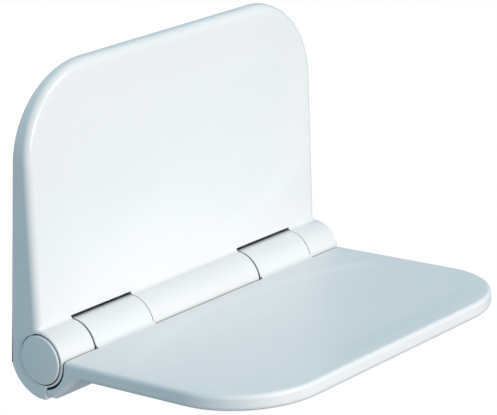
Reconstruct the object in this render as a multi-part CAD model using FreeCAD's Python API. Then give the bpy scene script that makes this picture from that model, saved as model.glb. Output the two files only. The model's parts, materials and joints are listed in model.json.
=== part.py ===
import FreeCAD, Part
import math
import os

from FreeCAD import Vector

# Wall-mounted folding shower seat: a backrest shell fixed flat to the wall and a seat panel that
# hinges on a five-knuckle barrel along the backrest's lower edge.
#
# Working frame: the hinge axis is the X axis, +Z is up, the wall is on the +Y side and the seat
# reaches towards -Y. place() moves every finished piece so that the origin lies on the wall, at
# the centre of the four wall screws. All sizes are in millimetres.

# ---- overall sizes ----
WIDTH = 380.0
HALF = WIDTH / 2
AXIS_TO_WALL = 34.7
TOP_ABOVE_AXIS = 246.0
ORIGIN_ABOVE_AXIS = 105.0
CORNER_RADIUS = 78.0

# ---- backrest ----
FACE_DEPTH_AT_AXIS = 33.5
FACE_LEAN_DEG = 5.2
FRONT_EDGE_RADIUS = 7.0
SHELL_WALL = 3.2
LIP_RADIUS = 36.4
LIP_FRONT = 6.4
BLEND_RADIUS = 3.0
CHEEK_EDGE_RADIUS = 1.2
GASKET_THICKNESS = 1.0
GASKET_INSET = 0.8
GASKET_WIDTH = 2.0
GASKET_BOTTOM = -13.0
REAR_PLANE = AXIS_TO_WALL - GASKET_THICKNESS
REAR_OPENING_BOTTOM = -8.0

# ---- shallow dish in both faces ----
DISH_RADIUS = 360.0
DISH_DEPTH = 1.4
DISH_BAND = 16.0
DISH_START_BACK = 47.0
DISH_START_SEAT = 42.0

# ---- hinge barrel ----
BARREL_RADIUS = 25.0
WINDOW_RADIUS = 27.6
END_WALL_RADIUS = 29.5
WINDOW_INNER = 72.6
WINDOW_OUTER = 149.0
GAP_WIDE = 2.0
GAP_NARROW = 0.8
KNUCKLE_BORE = 22.3
END_WALL = 3.2
ROD_RADIUS = 6.0
ROD_HOLE_RADIUS = 6.02
RUNNING_RADIUS = 6.05
BUSH_RADIUS = 8.0
FLANGE_RADIUS = 12.0
FLANGE_CLEARANCE = 0.3
BUSH_LENGTH = 20.0
CAP_RADIUS = 21.9
CAP_FACE = 2.0
CAP_WEB = 1.5
CAP_EDGE_RADIUS = 1.0
CAP_SKIRT_DEPTH = 12.0
CAP_SKIRT_WALL = 2.0
CAP_SLOT = 2.4

# ---- seat ----
SEAT_RISE_DEG = 6.74
SEAT_TOP = 2.6
SEAT_THICKNESS = 14.3
SEAT_REACH = 238.0
SEAT_EDGE_RADIUS = 4.5
SEAT_BLEND_RADIUS = 5.0
RECESS_RADIUS = 26.3
BLOCK_REAR = 7.2
BLOCK_BOTTOM = 32.2
BLOCK_RAMP_OFFSET = 48.6
UNDERSIDE_BLEND = 22.0
BLOCK_EDGE_RADIUS = 2.5
BLOCK_RAMP_DEG = 45.0
SEAT_SKIN = 3.2
CAVITY_START = 48.0
COVER_THICKNESS = 2.5
COVER_GAP = 0.2
COVER_LEDGE = 2.5

# ---- metal inside ----
SHEET = 2.5
PLATE_HALF_WIDTH = 125.0
PLATE_CORNER = 10.0
PLATE_TOP = 200.0
PLATE_BOTTOM = -6.5
FRAME_HALF_WIDTH = 165.0
FRAME_TOP = 204.0
FRAME_CORNER = 30.0
FRAME_GAP = 0.2
HOLE_SPACING_X = 200.0
HOLE_SPACING_Z = 120.0
WALL_HOLE_RADIUS = 3.2
HEAD_ROOM_RADIUS = 9.0
HOOK_X = 80.0
HOOK_WIDTH = 30.0
HOOK_RISE = 10.0
HOOK_PLAY = 0.5
FLANGE_REACH = 14.0
LOCK_X = 30.0
LOCK_Y = 24.0
EAR_THICKNESS = 4.0
EAR_RADIUS = 14.0
EAR_GAP = 1.0
ARM_WIDTH = 60.0
ARM_THICKNESS = 5.0
ARM_REACH = 190.0
ARM_EYE_RADIUS = 13.5
ARM_TIP_RADIUS = 12.0
ARM_COVERING = 0.2

# ---- screws, nuts, washers and small mouldings ----
RIB = 2.4
BACK_RIB_X = (-110.0, -55.0, 0.0, 55.0, 110.0)
BACK_RIB_Z = (75.0, 140.0)
RIB_CLEARANCE = 4.0
BACK_BOSS_RADIUS = 5.0
FRAME_SCREW_X = 150.0
FRAME_SCREW_Z = (35.0, 110.0, 180.0)
FRAME_SCREW_RADIUS = 1.6
FRAME_SCREW_HEAD = 3.6
FRAME_SCREW_HEAD_HEIGHT = 2.0
FRAME_SCREW_HOLE = 2.2
FRAME_SCREW_LENGTH = 6.0
LOCK_SCREW_RADIUS = 2.5
LOCK_HOLE_RADIUS = 2.8
LOCK_HEAD_RADIUS = 4.5
LOCK_HEAD_HEIGHT = 3.2
LOCK_SOCKET = 1.8
LOCK_LENGTH = 12.0
LOCK_SLEEVE_BORE = 5.5
LOCK_SLEEVE_RADIUS = 7.5
LOCK_SLEEVE_TOP = -10.5
NUT_ACROSS_FLATS = 8.0
NUT_HEIGHT = 4.0
FOLD_HALF_WIDTH = 55.0
STOP_PAD_X = (-110.0, 0.0, 110.0)
STOP_PAD_HALF_LENGTH = 14.0
STOP_PAD_DEPTH = 2.0
STOP_PAD_GAP = 0.1
STOP_PAD_Z = (-31.4, -27.6)
ROD_SHORT = 0.2
ROD_THREAD_RADIUS = 3.0
ROD_TAPPED_DEPTH = 16.0
ROD_SCREW_LENGTH = 12.0
ROD_SCREW_HEAD = 5.2
ROD_SCREW_HEAD_HEIGHT = 3.4
WASHER_RADIUS = 10.0
WASHER_HOLE = 3.2
WASHER_THICKNESS = 1.6
SEAT_RIB_X = (-160.0, -30.0, 0.0, 30.0, 160.0)
SEAT_RIB_REACH = (85.0, 125.0, 165.0, 205.0)
SEAT_BOSS_RADIUS = 4.0
COVER_SCREW_X = (-165.0, -55.0, 55.0, 165.0)
COVER_SCREW_REACH = (62.0, 150.0)
COVER_SCREW_FRONT = ((-75.0, 222.0), (75.0, 222.0))
COVER_SCREW_RADIUS = 1.4
COVER_SCREW_HEAD = 3.2
COVER_SCREW_HEAD_HEIGHT = 1.8

PLATE_FRONT = AXIS_TO_WALL - SHEET
FRAME_REAR = PLATE_FRONT - FRAME_GAP
FRAME_FRONT = FRAME_REAR - SHEET
LEAN = math.tan(math.radians(FACE_LEAN_DEG))
SEAT_BOTTOM = SEAT_TOP - SEAT_THICKNESS
SEAT_CEILING = SEAT_TOP - DISH_DEPTH - SEAT_SKIN
EAR_OUTER = WINDOW_OUTER + END_WALL + EAR_GAP
EAR_INNER = WINDOW_INNER - END_WALL - EAR_GAP - EAR_THICKNESS
ROD_END = EAR_OUTER + EAR_THICKNESS
SEAT_KNUCKLES = [
    (-WINDOW_OUTER + GAP_WIDE, -WINDOW_INNER - GAP_NARROW),
    (WINDOW_INNER + GAP_WIDE, WINDOW_OUTER - GAP_NARROW),
]
WINDOWS = [(-WINDOW_OUTER, -WINDOW_INNER), (WINDOW_INNER, WINDOW_OUTER)]
FAR = 400.0
TOUCH = 0.01
X_AXIS = Vector(1, 0, 0)
Y_AXIS = Vector(0, 1, 0)
Z_AXIS = Vector(0, 0, 1)
CENTRE = Vector(0, 0, 0)


# ---- small helpers ----
def box(x0, x1, y0, y1, z0, z1):
    return Part.makeBox(x1 - x0, y1 - y0, z1 - z0, Vector(x0, y0, z0))


def cylinder_x(radius, x0, x1, y=0.0, z=0.0):
    return Part.makeCylinder(radius, x1 - x0, Vector(x0, y, z), X_AXIS)


def cylinder_y(radius, y0, y1, x, z):
    return Part.makeCylinder(radius, y1 - y0, Vector(x, y0, z), Y_AXIS)


def cylinder_z(radius, z0, z1, x, y):
    return Part.makeCylinder(radius, z1 - z0, Vector(x, y, z0), Z_AXIS)


def tube_x(outer, inner, x0, x1):
    return cylinder_x(outer, x0, x1).cut(cylinder_x(inner, x0 - 1, x1 + 1))


def prism_x(points, x0, x1):
    """Extrude a closed (y, z) polygon along X."""
    corners = [Vector(x0, y, z) for y, z in points]
    face = Part.Face(Part.makePolygon(corners + corners[:1]))
    return face.extrude(Vector(x1 - x0, 0, 0))


def joined(shapes):
    return shapes[0].fuse(shapes[1:]).removeSplitter()


def arc(centre, radius, start_deg, end_deg, point_at):
    """Arc edge through its start, middle and end angles, mapped into space by point_at."""
    angles = [math.radians(a) for a in (start_deg, (start_deg + end_deg) / 2, end_deg)]
    flat = [(centre[0] + radius * math.cos(a), centre[1] + radius * math.sin(a)) for a in angles]
    return Part.Arc(*[point_at(*p) for p in flat]).toShape()


def round_end_outline(half_width, near, far, radius, point_at):
    """Closed outline: square at `near`, two rounded corners at `far`."""
    def line(a, b):
        return Part.makeLine(point_at(*a), point_at(*b))

    inner = half_width - radius
    edges = [
        line((-half_width, near), (half_width, near)),
        line((half_width, near), (half_width, far - radius)),
        arc((inner, far - radius), radius, 0, 90, point_at),
        line((inner, far), (-inner, far)),
        arc((-inner, far - radius), radius, 90, 180, point_at),
        line((-half_width, far - radius), (-half_width, near)),
    ]
    return Part.Face(Part.Wire(edges))


def upright_panel(inset, bottom, y0, y1):
    """Slab with the backrest's outline, shrunk by `inset`, from y0 to y1."""
    face = round_end_outline(
        HALF - inset,
        bottom,
        TOP_ABOVE_AXIS - inset,
        CORNER_RADIUS - inset,
        lambda x, z: Vector(x, y0, z),
    )
    return face.extrude(Vector(0, y1 - y0, 0))


def flat_panel(inset, near, z0, z1):
    """Slab with the seat's outline, shrunk by `inset`, in the seat's own level frame."""
    face = round_end_outline(
        HALF - inset,
        near,
        SEAT_REACH - inset,
        CORNER_RADIUS - inset,
        lambda x, reach: Vector(x, -reach, z0),
    )
    return face.extrude(Vector(0, 0, z1 - z0))


def face_y(z, depth=0.0):
    """Y of the leaning backrest face at height z, `depth` behind the face."""
    return AXIS_TO_WALL - FACE_DEPTH_AT_AXIS + LEAN * z + depth


def before_face(depth=0.0):
    """Everything in front of the leaning face, or of a plane `depth` behind it."""
    low = -FAR
    high = FAR
    points = [(-FAR, low), (face_y(low, depth), low), (face_y(high, depth), high), (-FAR, high)]
    return prism_x(points, -FAR, FAR)


def edges_where(shape, keep):
    """Edges whose two ends and middle all satisfy keep(point)."""
    found = []
    for edge in shape.Edges:
        middle = edge.valueAt((edge.FirstParameter + edge.LastParameter) / 2)
        points = [edge.Vertexes[0].Point, middle, edge.Vertexes[-1].Point]
        if all(keep(p) for p in points):
            found.append(edge)
    return found


def near(a, b):
    return abs(a - b) < TOUCH


def tilted(shape):
    """Turn a piece made level into the seat's rest position, rising to the front."""
    turned = shape.copy()
    turned.rotate(CENTRE, X_AXIS, -SEAT_RISE_DEG)
    return turned


def dish_tool():
    """Shallow disc with a soft S-shaped rim; its top is z = 0 and its centre the origin."""
    half_band = DISH_BAND / 2
    rim_radius = (half_band ** 2 + (DISH_DEPTH / 2) ** 2) / DISH_DEPTH
    half_turn = math.asin(half_band / rim_radius) / 2
    run = rim_radius * math.sin(half_turn)
    drop = rim_radius * (1 - math.cos(half_turn))
    outer = DISH_RADIUS + half_band
    inner = DISH_RADIUS - half_band
    corners = {
        "rim": Vector(outer, 0, 0),
        "middle": Vector(DISH_RADIUS, 0, -DISH_DEPTH / 2),
        "floor": Vector(inner, 0, -DISH_DEPTH),
        "centre": Vector(0, 0, -DISH_DEPTH),
        "centre_top": Vector(0, 0, 1),
        "rim_top": Vector(outer, 0, 1),
    }
    edges = [
        Part.Arc(corners["rim"], Vector(outer - run, 0, -drop), corners["middle"]).toShape(),
        Part.Arc(corners["middle"], Vector(inner + run, 0, drop - DISH_DEPTH), corners["floor"]).toShape(),
        Part.makeLine(corners["floor"], corners["centre"]),
        Part.makeLine(corners["centre"], corners["centre_top"]),
        Part.makeLine(corners["centre_top"], corners["rim_top"]),
        Part.makeLine(corners["rim_top"], corners["rim"]),
    ]
    return Part.Face(Part.Wire(edges)).revolve(CENTRE, Z_AXIS, 360)


# ---- backrest shell ----
def backrest_panel():
    """The flat part of the backrest with its leaning face and soft front edge."""
    slab = upright_panel(0.0, -2.0, -2.0, REAR_PLANE).cut(before_face())

    def on_rim(point):
        on_face = near(point.y, face_y(point.z))
        at_side = point.z > 0 and abs(point.x) > HALF - CORNER_RADIUS - 1
        return on_face and (at_side or near(point.z, TOP_ABOVE_AXIS))

    return slab.makeFillet(FRONT_EDGE_RADIUS, edges_where(slab, on_rim))


def backrest_dish():
    tool = dish_tool()
    tool.rotate(CENTRE, X_AXIS, 90 - FACE_LEAN_DEG)
    centre_z = DISH_START_BACK + DISH_RADIUS * math.cos(math.radians(FACE_LEAN_DEG))
    tool.translate(Vector(0, face_y(centre_z), centre_z))
    return tool


def lip():
    """Curved underside of the backrest, which also carries the seat's stop face."""
    disc = cylinder_x(LIP_RADIUS, -HALF, HALF)
    return disc.common(box(-HALF, HALF, -LIP_FRONT, REAR_PLANE, -FAR, 0))


def barrel_blend():
    """Concave blend between the leaning face and the top of the fixed knuckles."""
    lean = math.radians(FACE_LEAN_DEG)
    behind = (AXIS_TO_WALL - FACE_DEPTH_AT_AXIS) * math.cos(lean)
    out = BLEND_RADIUS - behind
    up = math.sqrt((BARREL_RADIUS + BLEND_RADIUS) ** 2 - out ** 2)
    scale = BARREL_RADIUS / (BARREL_RADIUS + BLEND_RADIUS)

    def in_section(forward, along):
        """(y, z) of a point given along the face and square to it."""
        y = along * math.sin(lean) - forward * math.cos(lean)
        return y, forward * math.sin(lean) + along * math.cos(lean)

    corners = [in_section(-behind, up), in_section(out * scale, up * scale),
               in_section(-behind - 2, up * scale - 2)]
    wedge = prism_x(corners, -HALF + FRONT_EDGE_RADIUS, HALF - FRONT_EDGE_RADIUS)
    round_y, round_z = in_section(out, up)
    return wedge.cut(cylinder_x(BLEND_RADIUS, -HALF, HALF, round_y, round_z))


def backrest_space():
    """Everything hollow inside the backrest shell, apart from the end walls of its knuckles."""
    inner = HALF - SHELL_WALL
    panel_space = upright_panel(SHELL_WALL, BARREL_RADIUS - 1, -2.0, FAR)
    panel_space = panel_space.cut(before_face(SHELL_WALL + DISH_DEPTH))
    low_space = cylinder_x(LIP_RADIUS - SHELL_WALL, -inner, inner)
    low_space = low_space.common(box(-inner, inner, 0, FAR, -FAR, 0))
    rear_space = box(-inner, inner, BARREL_RADIUS / 2, FAR, REAR_OPENING_BOTTOM, BARREL_RADIUS)
    knuckle_space = cylinder_x(KNUCKLE_BORE, -HALF - 1, HALF + 1)
    ear_space = box(-inner, inner, 0, FAR, REAR_OPENING_BOTTOM, KNUCKLE_BORE - RIB_CLEARANCE)
    space = joined([panel_space, low_space, rear_space, knuckle_space, ear_space])
    for x0, x1 in WINDOWS:
        space = space.cut([
            cylinder_x(END_WALL_RADIUS, x0 - END_WALL, x0),
            cylinder_x(END_WALL_RADIUS, x1, x1 + END_WALL),
        ])
    return space


def frame_screw_places():
    return [(side * FRAME_SCREW_X, z) for side in (-1, 1) for z in FRAME_SCREW_Z]


def backrest_ribs():
    """Ribs and screw bosses on the inside of the front skin, clear of the metal frame."""
    low = BARREL_RADIUS + RIB_CLEARANCE
    rear = FRAME_FRONT - RIB_CLEARANCE
    ribs = [box(x - RIB / 2, x + RIB / 2, 0, rear, low, FAR) for x in BACK_RIB_X]
    ribs += [box(-HALF, HALF, 0, rear, z - RIB / 2, z + RIB / 2) for z in BACK_RIB_Z]
    bosses = [cylinder_y(BACK_BOSS_RADIUS, 0, FRAME_FRONT, x, z) for x, z in frame_screw_places()]
    inside = upright_panel(SHELL_WALL / 2, low, 0, FRAME_FRONT).cut(before_face(SHELL_WALL / 2))
    return joined(ribs + bosses).common(inside)


def lock_cylinders(radius, z0, z1):
    return [cylinder_z(radius, z0, z1, side * LOCK_X, LOCK_Y) for side in (-1, 1)]


def stop_pads():
    """Three rubber strips let into the lip, which the seat's block closes against."""
    front = STOP_PAD_GAP - BLOCK_REAR
    return [box(x - STOP_PAD_HALF_LENGTH, x + STOP_PAD_HALF_LENGTH,
                front, STOP_PAD_DEPTH - LIP_FRONT, *STOP_PAD_Z) for x in STOP_PAD_X]


def backrest_shell():
    barrel = cylinder_x(BARREL_RADIUS, -HALF, HALF)
    outer = joined([backrest_panel(), barrel, lip(), barrel_blend()])
    cheeks = edges_where(outer, lambda p: near(abs(p.x), HALF) and p.z <= BARREL_RADIUS)
    cheeks = [edge for edge in cheeks if not near(edge.CenterOfMass.y, REAR_PLANE)]
    outer = outer.makeFillet(CHEEK_EDGE_RADIUS, cheeks).cut(backrest_dish())
    sleeves = lock_cylinders(LOCK_SLEEVE_RADIUS, -LIP_RADIUS, LOCK_SLEEVE_TOP)
    shell = joined([outer.cut(backrest_space()), backrest_ribs()] + sleeves).common(outer)
    cuts = [cylinder_x(WINDOW_RADIUS, x0, x1) for x0, x1 in WINDOWS]
    cuts.append(cylinder_x(ROD_RADIUS + FLANGE_CLEARANCE, -ROD_END, ROD_END))
    cuts += lock_cylinders(LOCK_SLEEVE_BORE, -FAR, LOCK_SLEEVE_TOP + 1)
    cuts += [cylinder_y(FRAME_SCREW_RADIUS, FRAME_FRONT - FRAME_SCREW_LENGTH - 0.5, FRAME_REAR, x, z)
             for x, z in frame_screw_places()]
    return shell.cut(cuts + stop_pads())


# ---- pieces on the wall side ----
def wall_gasket():
    inner_inset = GASKET_INSET + GASKET_WIDTH
    outer = upright_panel(GASKET_INSET, GASKET_BOTTOM, REAR_PLANE, AXIS_TO_WALL)
    return outer.cut(upright_panel(inner_inset, REAR_OPENING_BOTTOM - 1, REAR_PLANE - 1, AXIS_TO_WALL + 1))


def wall_hole_places():
    return [(side * HOLE_SPACING_X / 2, ORIGIN_ABOVE_AXIS + level * HOLE_SPACING_Z / 2)
            for side in (-1, 1) for level in (-1, 1)]


def hooks():
    """Two joggled tabs at the top of the wall plate, which the frame hangs on."""
    rear = FRAME_FRONT - FRAME_GAP
    ledge = PLATE_TOP - SHEET
    tabs = []
    for side in (-1, 1):
        x0 = side * HOOK_X - HOOK_WIDTH / 2
        x1 = x0 + HOOK_WIDTH
        tabs.append(box(x0, x1, rear - SHEET, PLATE_FRONT, ledge, PLATE_TOP))
        tabs.append(box(x0, x1, rear - SHEET, rear, ledge, PLATE_TOP + HOOK_RISE))
    return tabs


def folded_foot(rear, bottom):
    """Forward fold along the lower edge of a sheet, where the lock screws go through."""
    front = FRAME_FRONT - FLANGE_REACH
    return box(-FOLD_HALF_WIDTH, FOLD_HALF_WIDTH, front, rear, bottom, bottom + SHEET)


def wall_plate():
    plate = box(-PLATE_HALF_WIDTH, PLATE_HALF_WIDTH, PLATE_FRONT, AXIS_TO_WALL, PLATE_BOTTOM, PLATE_TOP)
    corners = edges_where(plate, lambda p: near(abs(p.x), PLATE_HALF_WIDTH)
                          and (near(p.z, PLATE_TOP) or near(p.z, PLATE_BOTTOM)))
    plate = plate.makeFillet(PLATE_CORNER, corners)
    plate = joined([plate, folded_foot(AXIS_TO_WALL, PLATE_BOTTOM)] + hooks())
    holes = [cylinder_y(WALL_HOLE_RADIUS, 0, FAR, x, z) for x, z in wall_hole_places()]
    return plate.cut(holes + lock_cylinders(LOCK_HOLE_RADIUS, -FAR, 0))


def ear_places():
    starts = [-EAR_OUTER - EAR_THICKNESS, -EAR_INNER - EAR_THICKNESS, EAR_INNER, EAR_OUTER]
    return [(x, x + EAR_THICKNESS) for x in starts]


def back_frame():
    """Folded steel frame that hangs on the wall plate and holds the hinge rod in four ears."""
    bottom = PLATE_BOTTOM + SHEET
    plate = box(-FRAME_HALF_WIDTH, FRAME_HALF_WIDTH, FRAME_FRONT, FRAME_REAR, bottom, FRAME_TOP)
    corners = edges_where(plate, lambda p: near(abs(p.x), FRAME_HALF_WIDTH) and near(p.z, FRAME_TOP))
    pieces = [plate.makeFillet(FRAME_CORNER, corners), folded_foot(FRAME_REAR, bottom)]
    for x0, x1 in ear_places():
        pieces.append(box(x0, x1, 0, FRAME_REAR, bottom, EAR_RADIUS))
        pieces.append(cylinder_x(EAR_RADIUS, x0, x1))
    cuts = [cylinder_x(ROD_HOLE_RADIUS, -HALF, HALF)]
    for x, z in wall_hole_places():
        cuts.append(cylinder_y(HEAD_ROOM_RADIUS, 0, FAR, x, z))
    for x, z in frame_screw_places():
        cuts.append(cylinder_y(FRAME_SCREW_HOLE, 0, FAR, x, z))
    slot_half = HOOK_WIDTH / 2 + HOOK_PLAY
    for side in (-1, 1):
        x = side * HOOK_X
        cuts.append(box(x - slot_half, x + slot_half, 0, FAR, PLATE_TOP - SHEET - HOOK_PLAY, PLATE_TOP))
    return joined(pieces).cut(cuts + lock_cylinders(LOCK_HOLE_RADIUS, -FAR, 0))


def frame_screws():
    """Pan-head screws from behind, through the frame into the shell's bosses."""
    screws = []
    for x, z in frame_screw_places():
        head = cylinder_y(FRAME_SCREW_HEAD, FRAME_REAR, FRAME_REAR + FRAME_SCREW_HEAD_HEIGHT, x, z)
        shank = cylinder_y(FRAME_SCREW_RADIUS, FRAME_FRONT - FRAME_SCREW_LENGTH, FRAME_REAR, x, z)
        screws.append(joined([head, shank]))
    return Part.makeCompound(screws)


def lock_screws():
    """Socket-head screws from below, which clamp the frame's foot down to the wall plate's."""
    base = PLATE_BOTTOM - LOCK_HEAD_HEIGHT
    heads = lock_cylinders(LOCK_HEAD_RADIUS, base, PLATE_BOTTOM)
    shanks = lock_cylinders(LOCK_SCREW_RADIUS, PLATE_BOTTOM, PLATE_BOTTOM + LOCK_LENGTH)
    sockets = lock_cylinders(LOCK_SOCKET, base - 1, base + LOCK_SOCKET)
    return Part.makeCompound([joined([head, shank]).cut(socket)
                              for head, shank, socket in zip(heads, shanks, sockets)])


def lock_nuts():
    base = PLATE_BOTTOM + 2 * SHEET
    nuts = []
    for hole in lock_cylinders(LOCK_SCREW_RADIUS, base - 1, base + NUT_HEIGHT + 1):
        x = hole.BoundBox.Center.x
        radius = NUT_ACROSS_FLATS / math.sqrt(3)
        angles = [math.radians(60 * k) for k in range(6)]
        corners = [Vector(x + radius * math.cos(a), LOCK_Y + radius * math.sin(a), base) for a in angles]
        blank = Part.Face(Part.makePolygon(corners + corners[:1])).extrude(Vector(0, 0, NUT_HEIGHT))
        nuts.append(blank.cut(hole))
    return Part.makeCompound(nuts)


# ---- hinge rod and its ends ----
def hinge_rod():
    end = ROD_END - ROD_SHORT
    rod = cylinder_x(ROD_RADIUS, -end, end)
    threads = [cylinder_x(ROD_THREAD_RADIUS, -end - 1, -end + ROD_TAPPED_DEPTH),
               cylinder_x(ROD_THREAD_RADIUS, end - ROD_TAPPED_DEPTH, end + 1)]
    return rod.cut(threads)


def both_ends(shape):
    """A piece on the right end of the hinge and its mirror image on the left."""
    return Part.makeCompound([shape, shape.mirror(CENTRE, X_AXIS)])


def rod_washers():
    return both_ends(tube_x(WASHER_RADIUS, WASHER_HOLE, ROD_END, ROD_END + WASHER_THICKNESS))


def rod_screws():
    under_head = ROD_END + WASHER_THICKNESS
    tip = ROD_END - ROD_SHORT - ROD_SCREW_LENGTH
    head_end = under_head + ROD_SCREW_HEAD_HEIGHT
    head = cylinder_x(ROD_SCREW_HEAD, under_head, head_end)
    shank = cylinder_x(ROD_THREAD_RADIUS, tip, under_head)
    socket = cylinder_x(LOCK_SOCKET, head_end - LOCK_SOCKET, head_end + 1)
    return both_ends(joined([head, shank]).cut(socket))


def end_cap(side):
    """Round snap-in cap: a flat face with a softened rim, and a skirt that grips the bore."""
    under = HALF - CAP_FACE
    tip = HALF - CAP_SKIRT_DEPTH
    face = cylinder_x(CAP_RADIUS, under, HALF)
    face = face.makeFillet(CAP_EDGE_RADIUS, edges_where(face, lambda p: near(p.x, HALF)))
    web = cylinder_x(KNUCKLE_BORE, under - CAP_WEB, under)
    slots = [box(tip - 1, under - CAP_WEB, -CAP_SLOT / 2, CAP_SLOT / 2, -FAR, FAR),
             box(tip - 1, under - CAP_WEB, 0, FAR, -FAR, FAR)]
    skirt = tube_x(KNUCKLE_BORE, KNUCKLE_BORE - CAP_SKIRT_WALL, tip, under).cut(slots)
    cap = joined([face, web, skirt])
    return cap if side > 0 else cap.mirror(CENTRE, X_AXIS)


# ---- seat ----
def seat_panel():
    """The flat part of the seat with soft edges along its sides and front."""
    slab = flat_panel(0.0, 2.0, SEAT_BOTTOM, SEAT_TOP)

    def on_rim(point):
        level = near(point.z, SEAT_TOP) or near(point.z, SEAT_BOTTOM)
        return level and (near(abs(point.x), HALF) or -point.y > SEAT_REACH - CORNER_RADIUS - 1)

    return tilted(slab.makeFillet(SEAT_EDGE_RADIUS, edges_where(slab, on_rim)))


def seat_dish():
    tool = dish_tool()
    tool.translate(Vector(0, -DISH_START_SEAT - DISH_RADIUS, SEAT_TOP))
    return tilted(tool)


def seat_block():
    """Stop block under the barrel, with a ramp and a concave blend into the seat's underside."""
    rise = math.radians(SEAT_RISE_DEG)
    ramp = math.radians(BLOCK_RAMP_DEG)
    under = SEAT_BOTTOM / math.cos(rise)
    meet = (BLOCK_RAMP_OFFSET + under) / (1 - math.tan(rise))
    tangent = UNDERSIDE_BLEND * math.tan((ramp - rise) / 2)
    ramp_end = (meet - tangent * math.cos(ramp), meet - BLOCK_RAMP_OFFSET - tangent * math.sin(ramp))
    flat_start = (meet + tangent * math.cos(rise), meet - BLOCK_RAMP_OFFSET + tangent * math.sin(rise))
    centre = (ramp_end[0] + UNDERSIDE_BLEND * math.sin(ramp),
              ramp_end[1] - UNDERSIDE_BLEND * math.cos(ramp))
    half_way = math.pi / 2 + (ramp + rise) / 2
    middle = (centre[0] + UNDERSIDE_BLEND * math.cos(half_way),
              centre[1] + UNDERSIDE_BLEND * math.sin(half_way))
    toe = (BLOCK_RAMP_OFFSET - BLOCK_BOTTOM, -BLOCK_BOTTOM)
    heel = (BLOCK_REAR, -BLOCK_BOTTOM)
    inside = (flat_start[0], 0.0)
    top = (BLOCK_REAR, 0.0)

    def at(corner):
        return Vector(-HALF, -corner[0], corner[1])

    edges = [
        Part.makeLine(at(top), at(heel)),
        Part.makeLine(at(heel), at(toe)),
        Part.makeLine(at(toe), at(ramp_end)),
        Part.Arc(at(ramp_end), at(middle), at(flat_start)).toShape(),
        Part.makeLine(at(flat_start), at(inside)),
        Part.makeLine(at(inside), at(top)),
    ]
    block = Part.Face(Part.Wire(edges)).extrude(Vector(WIDTH, 0, 0))
    toe_edge = edges_where(block, lambda p: near(p.z, toe[1]) and near(p.y, -toe[0]))
    return block.makeFillet(BLOCK_EDGE_RADIUS, toe_edge)


def seat_blend(x0, x1):
    """Concave blend between the seat's top and a seat knuckle."""
    up = SEAT_TOP + SEAT_BLEND_RADIUS
    out = math.sqrt((BARREL_RADIUS + SEAT_BLEND_RADIUS) ** 2 - up ** 2)
    scale = BARREL_RADIUS / (BARREL_RADIUS + SEAT_BLEND_RADIUS)
    corners = [(-out, SEAT_TOP), (-out * scale, up * scale), (2 - out * scale, SEAT_TOP - 2)]
    wedge = prism_x(corners, x0, x1)
    return tilted(wedge.cut(cylinder_x(SEAT_BLEND_RADIUS, x0 - 1, x1 + 1, -out, up)))


def cover_screw_places():
    grid = [(x, reach) for x in COVER_SCREW_X for reach in COVER_SCREW_REACH]
    return grid + list(COVER_SCREW_FRONT)


def seat_space():
    """The ribbed hollow in the seat's underside, with a ledge for the base cover."""
    cover_top = SEAT_BOTTOM + COVER_THICKNESS
    hollow = flat_panel(SEAT_SKIN, CAVITY_START, SEAT_BOTTOM - 1, SEAT_CEILING)
    solid = [box(x - RIB / 2, x + RIB / 2, -SEAT_REACH, 0, cover_top, SEAT_TOP) for x in SEAT_RIB_X]
    for reach in SEAT_RIB_REACH:
        solid.append(box(-HALF, HALF, -reach - RIB / 2, -reach + RIB / 2, cover_top, SEAT_TOP))
    for x, reach in cover_screw_places():
        solid.append(cylinder_z(SEAT_BOSS_RADIUS, cover_top, SEAT_TOP, x, -reach))
    inner = flat_panel(SEAT_SKIN + COVER_LEDGE, CAVITY_START + COVER_LEDGE, SEAT_BOTTOM, SEAT_TOP)
    ledge = flat_panel(SEAT_SKIN, CAVITY_START, cover_top, SEAT_TOP).cut(inner)
    return tilted(hollow.cut(joined(solid)).cut(ledge))


def arm_span(x0, x1):
    """The stretch along the axis that the hinge arm takes inside a seat knuckle."""
    middle = (x0 + x1) / 2
    return middle - ARM_WIDTH / 2, middle + ARM_WIDTH / 2


def arm_blank(x0, x1):
    """Hinge arm before boring: an eye and a flat bar that stiffens the panel."""
    top = SEAT_CEILING - ARM_COVERING
    bar = box(x0, x1, -ARM_REACH, 0, top - ARM_THICKNESS, top)
    tip = edges_where(bar, lambda p: near(p.y, -ARM_REACH) and (near(p.x, x0) or near(p.x, x1)))
    bar = tilted(bar.makeFillet(ARM_TIP_RADIUS, tip))
    return joined([bar, cylinder_x(ARM_EYE_RADIUS, x0, x1)])


def seat_arm(x0, x1):
    return arm_blank(x0, x1).cut(cylinder_x(BUSH_RADIUS, x0 - 1, x1 + 1))


def seat_shell():
    behind = box(-FAR, FAR, -BLOCK_REAR, FAR, -FAR, FAR)
    outer = joined([seat_panel(), seat_block()]).cut([seat_dish(), behind])
    ends = [-FAR] + [x for pair in SEAT_KNUCKLES for x in pair] + [FAR]
    recesses = [cylinder_x(RECESS_RADIUS, x0, x1) for x0, x1 in zip(ends[::2], ends[1::2])]
    knuckles = [cylinder_x(BARREL_RADIUS, x0, x1) for x0, x1 in SEAT_KNUCKLES]
    blends = [seat_blend(x0, x1) for x0, x1 in SEAT_KNUCKLES]
    shell = joined([outer.cut(recesses)] + knuckles + blends)
    cuts = [seat_space()]
    for x0, x1 in SEAT_KNUCKLES:
        cuts.append(cylinder_x(BUSH_RADIUS, x0 - 1, x1 + 1))
        cuts.append(arm_blank(*arm_span(x0, x1)))
    for x, reach in cover_screw_places():
        pilot = cylinder_z(COVER_SCREW_RADIUS, SEAT_BOTTOM - 1, SEAT_CEILING, x, -reach)
        cuts.append(tilted(pilot))
    return shell.cut(cuts)


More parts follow.
